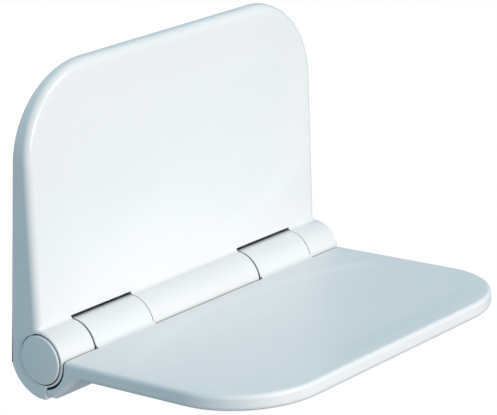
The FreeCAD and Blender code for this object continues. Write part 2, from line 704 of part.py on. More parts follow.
def screw_cone(x, reach):
    """Countersunk head of a cover screw."""
    foot = Vector(x, -reach, SEAT_BOTTOM)
    return Part.makeCone(COVER_SCREW_HEAD, COVER_SCREW_RADIUS, COVER_SCREW_HEAD_HEIGHT, foot, Z_AXIS)


def seat_base_cover():
    inset = SEAT_SKIN + COVER_GAP
    cover = flat_panel(inset, CAVITY_START + COVER_GAP, SEAT_BOTTOM, SEAT_BOTTOM + COVER_THICKNESS)
    cuts = []
    for x, reach in cover_screw_places():
        cuts.append(cylinder_z(COVER_SCREW_RADIUS, SEAT_BOTTOM - 1, SEAT_TOP, x, -reach))
        cuts.append(screw_cone(x, reach))
    return tilted(cover.cut(cuts))


def cover_screws():
    screws = []
    for x, reach in cover_screw_places():
        shank = cylinder_z(COVER_SCREW_RADIUS, SEAT_BOTTOM + 1, SEAT_CEILING - 1, x, -reach)
        recess = cylinder_z(COVER_SCREW_RADIUS / 2, SEAT_BOTTOM - 1, SEAT_BOTTOM + 1, x, -reach)
        screws.append(tilted(joined([screw_cone(x, reach), shank]).cut(recess)))
    return Part.makeCompound(screws)


def seat_bush(face_x, direction, flange):
    """Flanged bush pressed into a seat knuckle from its end face at face_x."""
    inner_x = face_x + direction * BUSH_LENGTH
    outer_x = face_x - direction * flange
    sleeve = tube_x(BUSH_RADIUS, RUNNING_RADIUS, min(face_x, inner_x), max(face_x, inner_x))
    collar = tube_x(FLANGE_RADIUS, RUNNING_RADIUS, min(face_x, outer_x), max(face_x, outer_x))
    return joined([sleeve, collar])


def place(shape):
    """Move a finished piece from the hinge-axis frame to the part's own frame."""
    moved = shape.copy()
    moved.translate(Vector(0, -AXIS_TO_WALL, -ORIGIN_ABOVE_AXIS))
    return moved


def all_pieces():
    made = {
        "backrest_shell": backrest_shell(),
        "wall_gasket": wall_gasket(),
        "wall_plate": wall_plate(),
        "back_frame": back_frame(),
        "frame_screws": frame_screws(),
        "lock_screws": lock_screws(),
        "lock_nuts": lock_nuts(),
        "stop_pads": Part.makeCompound(stop_pads()),
        "hinge_rod": hinge_rod(),
        "rod_washers": rod_washers(),
        "rod_screws": rod_screws(),
        "end_cap_left": end_cap(-1),
        "end_cap_right": end_cap(1),
        "seat_shell": seat_shell(),
        "seat_base_cover": seat_base_cover(),
        "cover_screws": cover_screws(),
    }
    for side, (x0, x1) in zip(("left", "right"), SEAT_KNUCKLES):
        made["seat_arm_" + side] = seat_arm(*arm_span(x0, x1))
        made["seat_bush_" + side + "_a"] = seat_bush(x0, 1, GAP_WIDE - FLANGE_CLEARANCE)
        made["seat_bush_" + side + "_b"] = seat_bush(x1, -1, GAP_NARROW - FLANGE_CLEARANCE)
    return made


os.makedirs("parts", exist_ok=True)
for name, shape in all_pieces().items():
    finished = place(shape)
    finished.exportStep("parts/" + name + ".step")
    print(name, len(finished.Solids), "solids,", round(finished.Volume), "mm3, valid", finished.isValid())
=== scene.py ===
import json
import math

import bmesh
import bpy
from mathutils import Matrix, Vector


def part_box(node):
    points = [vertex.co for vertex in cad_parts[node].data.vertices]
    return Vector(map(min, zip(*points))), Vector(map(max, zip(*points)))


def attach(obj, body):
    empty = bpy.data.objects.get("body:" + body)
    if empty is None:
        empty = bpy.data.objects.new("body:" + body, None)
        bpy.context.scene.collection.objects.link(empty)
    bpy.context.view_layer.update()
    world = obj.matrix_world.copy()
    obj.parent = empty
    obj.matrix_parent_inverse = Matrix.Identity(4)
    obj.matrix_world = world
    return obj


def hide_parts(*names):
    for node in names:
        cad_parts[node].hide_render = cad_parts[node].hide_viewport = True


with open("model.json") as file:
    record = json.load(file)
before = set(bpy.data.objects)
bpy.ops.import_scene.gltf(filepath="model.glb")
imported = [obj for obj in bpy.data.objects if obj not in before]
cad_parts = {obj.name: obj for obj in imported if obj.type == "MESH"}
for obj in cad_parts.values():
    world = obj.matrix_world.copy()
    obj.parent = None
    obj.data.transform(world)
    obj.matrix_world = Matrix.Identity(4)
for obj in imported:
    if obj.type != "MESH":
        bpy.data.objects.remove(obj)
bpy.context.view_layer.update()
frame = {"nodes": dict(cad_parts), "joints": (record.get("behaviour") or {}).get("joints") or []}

# Shells are drawn in millimetres in the hinge's own frame: X along the hinge axis, +Y towards the
# wall, +Z up, with the seat reaching towards -Y. finish_piece() moves them to the part's frame.
MM = 0.001
WELD = 0.002  # points closer than this are one
TINY = 1e-6  # slack when places are compared
OVERLAP = 1.0  # how far a cutting shape runs past the surface it opens
BEYOND = 3.0  # the same, where nothing is near
HINGE = Vector(frame["joints"][0]["pos_m"])
BACK_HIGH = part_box("backrest_shell")[1]
HALF = BACK_HIGH.x / MM  # half the backrest's width
TOP = (BACK_HIGH.z - HINGE.z) / MM
REAR = (BACK_HIGH.y - HINGE.y) / MM
CORNER_RADIUS = 78.0
CORNER_X = HALF - CORNER_RADIUS

# ---- fineness of the meshes ----
SHARP_ANGLE = math.radians(32)
GRID_STEP = 4.0
NEAR_STEP = 2.5  # rows of the seat beside the barrel
CAP_RING_STEP = 2.0
CORNER_STEPS = 26
EDGE_STEPS = 9
TURN_STEPS = 40
BLEND_STEPS = 8
LIP_STEPS = 16
HEM_STEPS = 12
LIP_EDGE_STEPS = 4
WINDOW_EDGE_STEPS = 3
HEEL_STEPS = 4
TOE_STEPS = 5
UNDERSIDE_STEPS = 12
RECESS_STEPS = 20
QUARTER_STEPS = 24
BEVEL_STEPS = 3
CAP_EDGE_STEPS = 6
CAP_SIDES = 120
BARREL_SIDES = 96
BUSH_SIDES = 64
HOLE_SIDES = 48
SCREW_SIDES = 32

# ---- backrest ----
FACE_BEHIND = 1.2  # the face, carried down to the hinge's level, lies this far behind the axis
LEAN = math.radians(5.2)
FACE_EDGE = 7.0  # rounding of the face's edge
CHEEK_EDGE = 1.5  # rounding of the barrel's ends
LIP_EDGE = 1.2
LIP_RADIUS = 36.4  # underside of the lip, about the hinge axis
LIP_FRONT = 6.4  # front of the lip, in front of the axis
HEM_RADIUS = 12.0  # lower rear edge
CREASE_RADIUS = 3.0  # blend between face and barrel
FACE_START = 32.0
BACK_CORNER_Z = TOP - CORNER_RADIUS
WINDOW_RADIUS = 28.3  # round slots in which the seat's knuckles turn
WINDOW_INNER = 72.6
WINDOW_OUTER = 149.0
WALL = 3.2  # thickness of the mouldings

# ---- barrel and seat ----
BARREL_RADIUS = 25.0
RIM_BEVEL = 0.9  # softened rims of all knuckles
WIDE_GAP = 2.0  # left of each of the seat's knuckles
NARROW_GAP = 0.8  # right of each: they stand off centre in their slots
KNUCKLES = ((-WINDOW_OUTER + WIDE_GAP, -WINDOW_INNER - NARROW_GAP),
            (WINDOW_INNER + WIDE_GAP, WINDOW_OUTER - NARROW_GAP))
OUTER_ENDS = (-KNUCKLES[0][0], KNUCKLES[1][1])
# Both shells have mesh columns here, on both sides, so that their left and right halves match.
SHARED_COLUMNS = (-OUTER_ENDS[1], -OUTER_ENDS[0], -CORNER_X, CORNER_X, *OUTER_ENDS)
RISE = math.radians(6.74)
SEAT_TOP = 2.6  # above the hinge axis, square to the seat
SEAT_BOTTOM = -11.7
SEAT_REACH = 238.0  # from the hinge axis to the front edge
SEAT_CORNER_R = SEAT_REACH - CORNER_RADIUS
SEAT_TOP_EDGE = 3.8
SEAT_EDGE = 4.5
SEAT_BLEND = 5.0  # blend between the seat's top and its knuckles
RECESS_RADIUS = 26.9  # hollow in front of the backrest's knuckles
RECESS_EDGE = 0.5
BLOCK_REAR = 7.2  # the stop block's rear face, in front of the axis
BLOCK_BOTTOM = 32.2
RAMP_OFFSET = 48.6  # on the block's 45 degree ramp, -y - z is this much
UNDERSIDE_BLEND = 22.0
TOE_RADIUS = 2.5
HEEL_RADIUS = 1.2
SMALL_EDGE = 0.8
SEAT_FLAT = 52.0  # from here on the underside is flat

# ---- shallow dishes ----
DISH_RADIUS = 360.0  # of the dish's round edge
DISH_DEPTH = 1.4
DISH_BAND = 18.0  # width of the slope round the dish
DISH_FADE_START = 4.0  # the dish fades out towards the shell's edge
DISH_FADE = 40.0
DISH_START_BACK = 47.0
DISH_START_SEAT = 42.0

# ---- hollows, ribs and holes ----
WINDOWS = ((-WINDOW_OUTER, -WINDOW_INNER), (WINDOW_INNER, WINDOW_OUTER))
RIB = 2.4
BACK_RIB_X = (-110.0, -55.0, 0.0, 55.0, 110.0)
BACK_RIB_Z = (75.0, 140.0)
FRAME_FRONT = 29.5  # front of the steel frame, behind the axis
RIB_TO_FRAME = 4.0
RIB_REAR = FRAME_FRONT - RIB_TO_FRAME
BOSS_X = 150.0
BOSS_Z = (35.0, 110.0, 180.0)
BOSS_RADIUS = 5.0
POCKET_BOTTOM = 30.5  # lower end of the hollow behind the face
REAR_OPENING = -8.0  # lower edge of the opening in the backrest's rear
BORE_RADIUS = 23.0
END_WALL_RADIUS = 29.5
ROD_HOLE = 6.3
LOCK_X = 30.0
LOCK_Y = 24.0
LOCK_SLEEVE = 7.5
LOCK_BORE = 5.5
LOCK_TOP = -10.5
PAD_X = (-110.0, 0.0, 110.0)
PAD_HALF = 14.0
PAD_DEPTH = 2.0
PAD_Z = (-31.4, -27.6)
COVER_START = 48.0
COVER_INSET = 5.0
COVER_GAP = 0.2
COVER_THICK = 2.5
COVER_EDGE = 0.5
COVER_EDGE_MIDDLE = 0.3 * COVER_EDGE
COVER_TOP = SEAT_BOTTOM + COVER_THICK
SCREW_COLUMNS = (-165.0, -55.0, 55.0, 165.0)
SCREW_ROWS = (62.0, 150.0)
FRONT_SCREWS = [(-75.0, 222.0), (75.0, 222.0)]
COVER_SCREWS = [(x, reach) for x in SCREW_COLUMNS for reach in SCREW_ROWS] + FRONT_SCREWS
SCREW_SHANK = 1.5
SCREW_HEAD = 3.3
SCREW_HEAD_DEPTH = 1.8
SCREW_SLOPE = (SCREW_HEAD - SCREW_SHANK) / SCREW_HEAD_DEPTH
SCREW_BOSS = 4.0
RIB_CLEARANCE = 0.3
RIB_FOOT = COVER_TOP + RIB_CLEARANCE
LEDGE = 2.5  # step on which the base cover rests
SEAT_CEILING = SEAT_TOP - DISH_DEPTH - WALL
SEAT_RIB_X = (-160.0, -30.0, 0.0, 30.0, 160.0)
SEAT_RIB_REACH = (85.0, 125.0, 165.0, 205.0)
ARM_HALF = 30.0
ARM_REACH = 190.0
ARM_COVER = 0.2
ARM_DEPTH = 5.2
BUSH_RADIUS = 8.0

# ---- end caps ----
CAP_RADIUS = 21.9
CAP_EDGE = 1.1
CAP_UNDERSIDE = 0.4  # depth, from the barrel's end, at which the neck begins
CAP_DOME = 0.6  # rise of the cap's face
CAP_PROUD = 2.4  # how far its middle stands out of the barrel
CAP_NECK = 19.0
CAP_NECK_END = 3.1
CAP_SKIRT = 22.8
CAP_SKIRT_END = 12.0
CAP_WALL = 2.0

# ---- camera ----
CAMERA_YAW = math.radians(51.18)
CAMERA_PITCH = math.radians(20.45)
CAMERA_ROLL = math.radians(-2.19)
CAMERA_DISTANCE = 2.247
CAMERA_AIM = Vector((-0.01446, -0.11337, 0.00762))
CAMERA_LENS = 188.1
CAMERA_SENSOR = 36.0

# ---- surroundings and finishes ----
FLOOR_Z = -1.8
FLOOR_HALF = 8.0
FLOOR_CELL = 1.0
FILL_COLOUR = (0.586, 0.853, 1.0, 1)
FILL_STRENGTH = 0.56
WARM_WHITE = (1.0, 0.86, 0.78)
SOFT_BOX = (1.4, 1.1)
KEY_PLACE = (-0.6, -2.65, 0.65)
KEY_POWER = 33
HIGH_PLACE = (0.5, -2.2, 1.6)
HIGH_POWER = 27
# Painted shade: inside narrow gaps the plastic's base colour is turned towards this near black by ambient
# occlusion
PAINTED_GAP_SHADE = (0.02, 0.022, 0.025, 1)
GAP_SHADE_REACH = 9.0  # how far off a facing wall still adds to the painted gap shade, in millimetres
GAP_SHADE_CLOSED = 0.15
GAP_SHADE_OPEN = 0.44
GAP_SHADE_SAMPLES = 8
PATTERN_LOW = 0.3  # a pattern's values mostly stay between these two
PATTERN_HIGH = 0.7
GLOSS = (0.18, 0.26)
SATIN = (0.32, 0.40)


# ---- small geometry helpers ----
def spread(start, end, step=GRID_STEP):
    """Evenly spaced values from start to end, about `step` apart, both ends included."""
    count = max(1, round(abs(end - start) / step))
    return [start + (end - start) * k / count for k in range(count + 1)]


def chained(*runs):
    """Join runs of values that share their end points."""
    values = list(runs[0])
    for run in runs[1:]:
        values += run[1:]
    return values


def edge_insets(radius):
    """Distances in from a rounded edge, dense where the rounding is steep."""
    return [radius * (1 - math.cos(math.pi / 2 * k / EDGE_STEPS)) for k in range(EDGE_STEPS + 1)]


def rounding(radius, inset):
    """How far a surface sinks at `inset` from an edge rounded to `radius`."""
    if inset >= radius:
        return 0.0
    return radius - math.sqrt(radius ** 2 - (radius - inset) ** 2)


def smooth(t):
    """Soft step from 0 to 1, level at both ends."""
    t = min(1.0, max(0.0, t))
    return t * t * t * (t * (6 * t - 15) + 10)


def dish(x, along, inset, start):
    """Depth of the shallow dish whose round edge crosses the middle at `start`."""
    away = math.hypot(x, along - start - DISH_RADIUS)
    depth = DISH_DEPTH * smooth((DISH_RADIUS + DISH_BAND / 2 - away) / DISH_BAND)
    return depth * smooth((inset - DISH_FADE_START) / DISH_FADE)


def arc_about(centre, radius, start, end, steps):
    """Points of an arc, both ends included."""
    angles = [start + (end - start) * k / steps for k in range(steps + 1)]
    return [(centre[0] + radius * math.cos(a), centre[1] + radius * math.sin(a)) for a in angles]


def turn(radius, start, end, steps=TURN_STEPS):
    """Points of an arc about the hinge axis, by angle from +Y towards +Z."""
    return arc_about((0, 0), radius, start, end, steps)


def rounded(before, corner, after, radius, steps):
    """Arc of `radius` that replaces the corner between two straight stretches."""
    a = (Vector(before) - Vector(corner)).normalized()
    b = (Vector(after) - Vector(corner)).normalized()
    half = a.angle(b) / 2
    reach = radius / math.tan(half)
    centre = Vector(corner) + (a + b).normalized() * radius / math.sin(half)
    first = Vector(corner) + a * reach - centre
    last = Vector(corner) + b * reach - centre
    sweep = first.angle_signed(last)
    points = []
    for k in range(steps + 1):
        points.append(tuple(centre + Matrix.Rotation(-sweep * k / steps, 2) @ first))
    return points


class Skin:
    """Collects faces given by their points and welds them into one mesh."""

    def __init__(self):
        self.bm = bmesh.new()

    def polygon(self, points):
        self.bm.faces.new([self.bm.verts.new(p) for p in points])

    def grid(self, rows):
        """Four-sided faces between neighbouring rows of points."""
        verts = [[self.bm.verts.new(p) for p in row] for row in rows]
        for low, high in zip(verts, verts[1:]):
            for k in range(len(low) - 1):
                self.bm.faces.new((low[k], low[k + 1], high[k + 1], high[k]))

    def weld(self):
        bmesh.ops.remove_doubles(self.bm, verts=self.bm.verts, dist=WELD)
        bmesh.ops.dissolve_degenerate(self.bm, dist=WELD / 2, edges=self.bm.edges)
        bmesh.ops.recalc_face_normals(self.bm, faces=self.bm.faces)

    def soften(self, walls, width):
        """Bevel the rims of the barrel's knuckles on the flat end walls at the given places."""
        edges = []
        for edge in self.bm.edges:
            ends = [v.co for v in edge.verts]
            level = abs(ends[0].x - ends[1].x) < WELD
            at_wall = level and min(abs(ends[0].x - x) for x in walls) < WELD
            on_barrel = all(abs(math.hypot(p.y, p.z) - BARREL_RADIUS) < WELD for p in ends)
            if at_wall and on_barrel and edge.calc_face_angle(0) > SHARP_ANGLE:
                edges.append(edge)
        bmesh.ops.bevel(self.bm, geom=edges, offset=width, segments=BEVEL_STEPS, profile=0.5,
                        affect="EDGES", clamp_overlap=True)

    def loft(self, first, last):
        """Closed solid between two outlines with the same number of points."""
        a = [self.bm.verts.new(p) for p in first]
        b = [self.bm.verts.new(p) for p in last]
        self.bm.faces.new(a)
        self.bm.faces.new(b)
        for k in range(len(a)):
            self.bm.faces.new((a[k - 1], a[k], b[k], b[k - 1]))

    def box(self, x, y, z):
        """Solid between the pairs of limits x, y and z."""
        corners = [(y[0], z[0]), (y[1], z[0]), (y[1], z[1]), (y[0], z[1])]
        self.loft([(x[0], *c) for c in corners], [(x[1], *c) for c in corners])

    def rod(self, radius, start, end, place, steps, end_radius=None):
        """Cylinder or cone; place(u, v, w) turns its own coordinates into the shell's frame."""
        ring = arc_about((0, 0), 1.0, 0, 2 * math.pi, steps)[:-1]
        far = radius if end_radius is None else end_radius
        self.loft([place(radius * u, radius * v, start) for u, v in ring],
                  [place(far * u, far * v, end) for u, v in ring])

    def solid(self, name):
        """The collected faces as a Blender object."""
        bmesh.ops.recalc_face_normals(self.bm, faces=self.bm.faces)
        mesh = bpy.data.meshes.new(name)
        self.bm.to_mesh(mesh)
        self.bm.free()
        piece = bpy.data.objects.new(name, mesh)
        bpy.context.scene.collection.objects.link(piece)
        return piece


def combine(piece, tool, operation="UNION"):
    """Apply a boolean of two closed meshes to `piece` and drop the tool."""
    step = piece.modifiers.new("combine", "BOOLEAN")
    step.object = tool
    step.operation = operation
    step.solver = "EXACT"
    result = bpy.data.meshes.new_from_object(piece.evaluated_get(bpy.context.evaluated_depsgraph_get()))
    piece.modifiers.remove(step)
    piece.data = result
    bpy.data.objects.remove(tool)
    return piece


def cut(piece, tool):
    return combine(piece, tool, "DIFFERENCE")


# Ways to place a rod: along the hinge axis, upright at (x, y), or straight into the wall at (x, z).
def along_x(u, v, w):
    return w, u, v


def along_z(x, y):
    return lambda u, v, w: (x + u, y + v, w)


def along_y(x, z):
    return lambda u, v, w: (x + u, w, z + v)


def finish_piece(piece, body, node, material):
    """Bring a piece into the part's frame and hand it to the body it belongs to."""
    piece.data.transform(Matrix.Translation(HINGE) @ Matrix.Scale(MM, 4))
    piece.data.materials.clear()
    piece.data.materials.append(material)
    for face in piece.data.polygons:
        face.use_smooth = True
    piece.data.set_sharp_from_angle(angle=SHARP_ANGLE)
    weights = piece.modifiers.new("weights", "WEIGHTED_NORMAL")
    weights.keep_sharp = True
    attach(piece, body)
    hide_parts(node)


# ---- backrest ----
def face_point(x, z, inset):
    """Point of the leaning face, `inset` from the shell's edge."""
    sink = rounding(FACE_EDGE, inset) + dish(x, z, inset, DISH_START_BACK)
    return x, FACE_BEHIND + math.tan(LEAN) * z + sink, z


def crease(inset):
    """Blend arc between the leaning face and the barrel, from the face down to the barrel."""
    radius = BARREL_RADIUS - rounding(CHEEK_EDGE, inset)
    behind = (FACE_BEHIND + rounding(FACE_EDGE, inset)) * math.cos(LEAN)
    out = CREASE_RADIUS - behind
    along = math.sqrt((radius + CREASE_RADIUS) ** 2 - out ** 2)
    meets = math.atan2(-along, -out) % (2 * math.pi)
    section = arc_about((out, along), CREASE_RADIUS, math.pi, meets, BLEND_STEPS)
    return [(-f * math.cos(LEAN) + a * math.sin(LEAN), f * math.sin(LEAN) + a * math.cos(LEAN))
            for f, a in section], radius


def lip_line(inset):
    """From the lip's front face down, round its corner and back along its curved underside."""
    radius = LIP_RADIUS - rounding(LIP_EDGE, inset)
    front = rounding(LIP_EDGE, inset) - LIP_FRONT
    low = -math.sqrt(radius ** 2 - front ** 2)
    hem = HEM_RADIUS - rounding(LIP_EDGE, inset)
    across = REAR - HEM_RADIUS
    hem_low = -math.sqrt((radius - hem) ** 2 - across ** 2)
    meets = math.atan2(hem_low, across)
    underside = turn(radius, math.atan2(low, front), meets, LIP_STEPS)
    hem_arc = arc_about((across, hem_low), hem, meets, 0, HEM_STEPS)
    line = [(front, -math.sqrt(WINDOW_RADIUS ** 2 - front ** 2))]
    line += rounded(line[0], underside[0], underside[1], LIP_EDGE, LIP_EDGE_STEPS)
    return line + underside[1:] + hem_arc[1:]


def fixed_knuckle(inset):
    """Section where the backrest carries a knuckle of the barrel."""
    blend, radius = crease(inset)
    line = lip_line(inset)
    start = math.atan2(blend[-1][1], blend[-1][0])
    end = math.pi + math.acos(-line[0][0] / radius)
    return blend + turn(radius, start, end)[1:] + line


def window(inset):
    """Section where a seat knuckle turns in a round recess of the backrest."""
    blend, _ = crease(inset)
    slope = math.tan(LEAN)
    square = 1 + slope ** 2
    top = (math.sqrt(square * WINDOW_RADIUS ** 2 - FACE_BEHIND ** 2) - slope * FACE_BEHIND) / square
    edge = (FACE_BEHIND + slope * top, top)
    line = lip_line(inset)
    end = math.atan2(line[0][1], line[0][0])
    hollow = turn(WINDOW_RADIUS, math.atan2(edge[1], edge[0]), end)
    corner = rounded(blend[0], edge, hollow[1], SMALL_EDGE / 2, WINDOW_EDGE_STEPS)
    return [blend[0]] + corner + hollow[1:-1] + line


BACK_SPANS = (
    (-HALF, -WINDOW_OUTER, fixed_knuckle),
    (-WINDOW_OUTER, -WINDOW_INNER, window),
    (-WINDOW_INNER, WINDOW_INNER, fixed_knuckle),
    (WINDOW_INNER, WINDOW_OUTER, window),
    (WINDOW_OUTER, HALF, fixed_knuckle),
)


def columns(x0, x1, radius):
    """Places of the mesh columns between x0 and x1, dense at the object's sides."""
    if x1 >= HALF:
        return [-x for x in reversed(columns(-x1, -x0, radius))]
    marks = [x0] + [x for x in SHARED_COLUMNS if x0 < x < x1] + [x1]
    runs = [spread(a, b) for a, b in zip(marks, marks[1:])]
    if x0 <= -HALF:
        dense = [-HALF + d for d in edge_insets(radius)]
        runs[0] = chained(dense, spread(dense[-1], marks[1]))
    return chained(*runs)


def ring_insets(spans, radius):
    """Insets of the columns between a side and the corner's centre, innermost first."""
    found = set()
    for x0, x1, _ in spans:
        found |= {round(HALF + x, 6) for x in columns(x0, x1, radius) if x <= -CORNER_X + TINY}
    return sorted(found, reverse=True)


def corner_fan(side, far_centre, inset):
    """Points of one ring round a corner, from the side edge to the far edge."""
    radius = CORNER_RADIUS - inset
    angles = [math.pi / 2 * k / CORNER_STEPS for k in range(CORNER_STEPS + 1)]
    return [(side * (CORNER_X + radius * math.cos(a)), far_centre + radius * math.sin(a)) for a in angles]


def far_columns(spans, radius):
    """Places of the columns between the two corners' centres."""
    found = set()
    for x0, x1, _ in spans:
        found |= {round(x, 6) for x in columns(x0, x1, radius) if abs(x) <= CORNER_X + TINY}
    return sorted(found)


def outline(spans, radius, rows, far_centre, inset):
    """(x, along) points of one ring: up the left side, round both corners, down the right side."""
    left = [(inset - HALF, r) for r in rows]
    right = [(HALF - inset, r) for r in reversed(rows)]
    far = far_centre + CORNER_RADIUS - inset
    across = [(x, far) for x in far_columns(spans, radius)]
    return chained(left, corner_fan(-1, far_centre, inset), across,
                   corner_fan(1, far_centre, inset)[::-1], right)


def upper_sheet(skin, spans, radius, rows, far_centre, point):
    """The ring-shaped far part of a face: side strips are left to the spans' own columns."""
    insets = ring_insets(spans, radius)
    for side in (-1, 1):
        skin.grid([[point(x, r, d) for x, r in corner_fan(side, far_centre, d)] for d in insets])
    across = far_columns(spans, radius)
    skin.grid([[point(x, far_centre + CORNER_RADIUS - d, d) for x in across] for d in insets])


def backrest_skin():
    """Outside of the backrest: spans side by side, then the far part, the rim, back and cheeks."""
    skin = Skin()
    rows = spread(FACE_START, BACK_CORNER_Z)
    floor_line = []
    for x0, x1, section in BACK_SPANS:
        grid = []
        for x in columns(x0, x1, FACE_EDGE):
            inset = HALF - abs(x)
            low = [(x, y, z) for y, z in reversed(section(inset))]
            grid.append(low + [face_point(x, z, inset) for z in rows])
            floor_line.append(low[0])
        skin.grid(grid)
    upper_sheet(skin, BACK_SPANS, FACE_EDGE, rows, BACK_CORNER_Z, face_point)
    rim = outline(BACK_SPANS, FACE_EDGE, rows, BACK_CORNER_Z, 0.0)
    skin.grid([[face_point(x, z, 0.0) for x, z in rim], [(x, REAR, z) for x, z in rim]])
    skin.polygon([(x, REAR, z) for x, z in rim] + floor_line[::-1])
    for side in (-1, 1):
        cheek = [(side * HALF, y, z) for y, z in fixed_knuckle(0.0)]
        skin.polygon([face_point(side * HALF, FACE_START, 0.0)] + cheek + [(side * HALF, REAR, FACE_START)])
    window_walls(skin)
    skin.weld()
    return skin


def window_walls(skin):
    """Flat walls at the windows' ends, between the knuckle's section and the window's."""
    lip_points = len(lip_line(HALF))
    wall = fixed_knuckle(HALF)[:1 - lip_points] + window(HALF)[1:-lip_points][::-1]
    for x in (-WINDOW_OUTER, -WINDOW_INNER, WINDOW_INNER, WINDOW_OUTER):
        skin.polygon([(x, y, z) for y, z in wall])


# ---- seat ----
def lifted(along, z):
    """(y, z) of a point given along and square to the seat, which rises to the front."""
    return (z * math.sin(RISE) - along * math.cos(RISE), along * math.sin(RISE) + z * math.cos(RISE))


def levelled(x, section):
    """Points of a section turned down into the level frame in which the seat is made."""
    return [(x, y * math.cos(RISE) - z * math.sin(RISE), y * math.sin(RISE) + z * math.cos(RISE))
            for y, z in section]


def top_point(x, along, inset):
    sink = rounding(SEAT_TOP_EDGE, inset) + dish(x, along, inset, DISH_START_SEAT)
    return x, -along, SEAT_TOP - sink


def bottom_point(x, along, inset):
    return x, -along, SEAT_BOTTOM + rounding(SEAT_EDGE, inset)


def blend_centre():
    """(along, up) of the blend between the seat's top and its knuckles."""
    up = SEAT_TOP + SEAT_BLEND
    return math.sqrt((BARREL_RADIUS + SEAT_BLEND) ** 2 - up ** 2), up


def block_line(inset):
    """Round the stop block: down its rear face, along its foot, up the ramp to the underside."""
    edge = rounding(SEAT_EDGE, inset)
    rear = -BLOCK_REAR - rounding(RECESS_EDGE, inset)
    recess = RECESS_RADIUS + rounding(RECESS_EDGE, inset)
    foot = edge - BLOCK_BOTTOM
    start = (rear, -math.sqrt(recess ** 2 - rear ** 2) - SMALL_EDGE)
    heel = (rear, foot)
    offset = RAMP_OFFSET - edge * math.sqrt(2)
    toe = (-foot - offset, foot)
    under = (SEAT_BOTTOM + edge) / math.cos(RISE)
    forward = (offset + under) / (1 - math.tan(RISE))
    bend = (-forward, forward - offset)
    flat = lifted(SEAT_FLAT, SEAT_BOTTOM + edge)
    line = [start]
    line += rounded(start, heel, toe, HEEL_RADIUS, HEEL_STEPS)
    line += rounded(heel, toe, bend, TOE_RADIUS, TOE_STEPS)
    line += rounded(toe, bend, flat, UNDERSIDE_BLEND + edge, UNDERSIDE_STEPS)
    return line + [flat]


def recess(inset):
    """Section of the seat in front of a fixed knuckle, from the blend line down and round."""
    level = SEAT_TOP - rounding(SEAT_TOP_EDGE, inset)
    radius = RECESS_RADIUS + rounding(RECESS_EDGE, inset)
    edge = lifted(math.sqrt(radius ** 2 - level ** 2), level)
    line = block_line(inset)
    bottom = math.pi + math.acos(-line[0][0] / radius)
    hollow = turn(radius, math.atan2(edge[1], edge[0]), bottom, RECESS_STEPS)
    first = lifted(blend_centre()[0], level)
    top_corner = rounded(first, edge, hollow[1], SMALL_EDGE, HEEL_STEPS)
    return [first] + top_corner + hollow[1:] + line


def seat_knuckle(inset):
    """Section of the seat where it carries a knuckle of the barrel."""
    centre = blend_centre()
    towards = math.atan2(-centre[1], -centre[0]) % (2 * math.pi)
    blend = arc_about(centre, SEAT_BLEND, 1.5 * math.pi, towards, BLEND_STEPS)
    blend = [lifted(along, z) for along, z in blend]
    start = math.atan2(blend[-1][1], blend[-1][0])
    line = block_line(inset)
    end = math.acos(line[0][0] / BARREL_RADIUS)
    return blend + turn(BARREL_RADIUS, start, -end)[1:] + line


SEAT_ENDS = (-HALF,) + KNUCKLES[0] + KNUCKLES[1] + (HALF,)
SEAT_SPANS = tuple(zip(SEAT_ENDS, SEAT_ENDS[1:], (recess, seat_knuckle, recess, seat_knuckle, recess)))


def seat_skin():
    """Outside of the seat: spans side by side, then the far part, the rim, underside and ends."""
    skin = Skin()
    rows = spread(SEAT_FLAT, SEAT_CORNER_R)
    near_rows = spread(SEAT_FLAT, blend_centre()[0], NEAR_STEP)[:-1]
    under_line = []
    for x0, x1, section in SEAT_SPANS:
        grid = []
        for x in columns(x0, x1, SEAT_EDGE):
            inset = HALF - abs(x)
            back = [top_point(x, r, inset) for r in near_rows]
            low = levelled(x, section(inset))
            grid.append([top_point(x, r, inset) for r in reversed(rows[1:])] + back + low)
            if inset >= SEAT_EDGE - TINY:
                under_line.append(low[-1])
        skin.grid(grid)
    upper_sheet(skin, SEAT_SPANS, SEAT_EDGE, rows, SEAT_CORNER_R, top_point)
    insets = edge_insets(SEAT_EDGE)
    rings = [outline(SEAT_SPANS, SEAT_EDGE, rows, SEAT_CORNER_R, d) for d in insets]
    skin.grid([[bottom_point(x, r, d) for x, r in ring] for ring, d in zip(rings, insets)])
    skin.grid([[top_point(x, r, 0.0) for x, r in rings[0]], [bottom_point(x, r, 0.0) for x, r in rings[0]]])
    skin.polygon([bottom_point(x, r, SEAT_EDGE) for x, r in rings[-1]] + under_line[::-1])
    for side in (-1, 1):
        near = [top_point(side * HALF, r, 0.0) for r in near_rows]
        skin.polygon(near + levelled(side * HALF, recess(0.0)))
    knuckle_walls(skin)
    skin.weld()
    return skin


def knuckle_walls(skin):
    """Flat walls at the ends of the seat's knuckles, down to the recess beside them."""
    block_points = len(block_line(HALF))
    wall = seat_knuckle(HALF)[:1 - block_points] + recess(HALF)[1:-block_points][::-1]
    for x in SEAT_ENDS[1:-1]:
        skin.polygon(levelled(x, wall))


# ---- what is cut out of the backrest ----
def ring_points(inset, far_centre, low):
    """Simple outline of a shell, shrunk by `inset`: square at `low`, round at the far corners."""
    left = corner_fan(-1, far_centre, inset)
    right = corner_fan(1, far_centre, inset)[::-1]
    return [(inset - HALF, low)] + left + right + [(HALF - inset, low)]


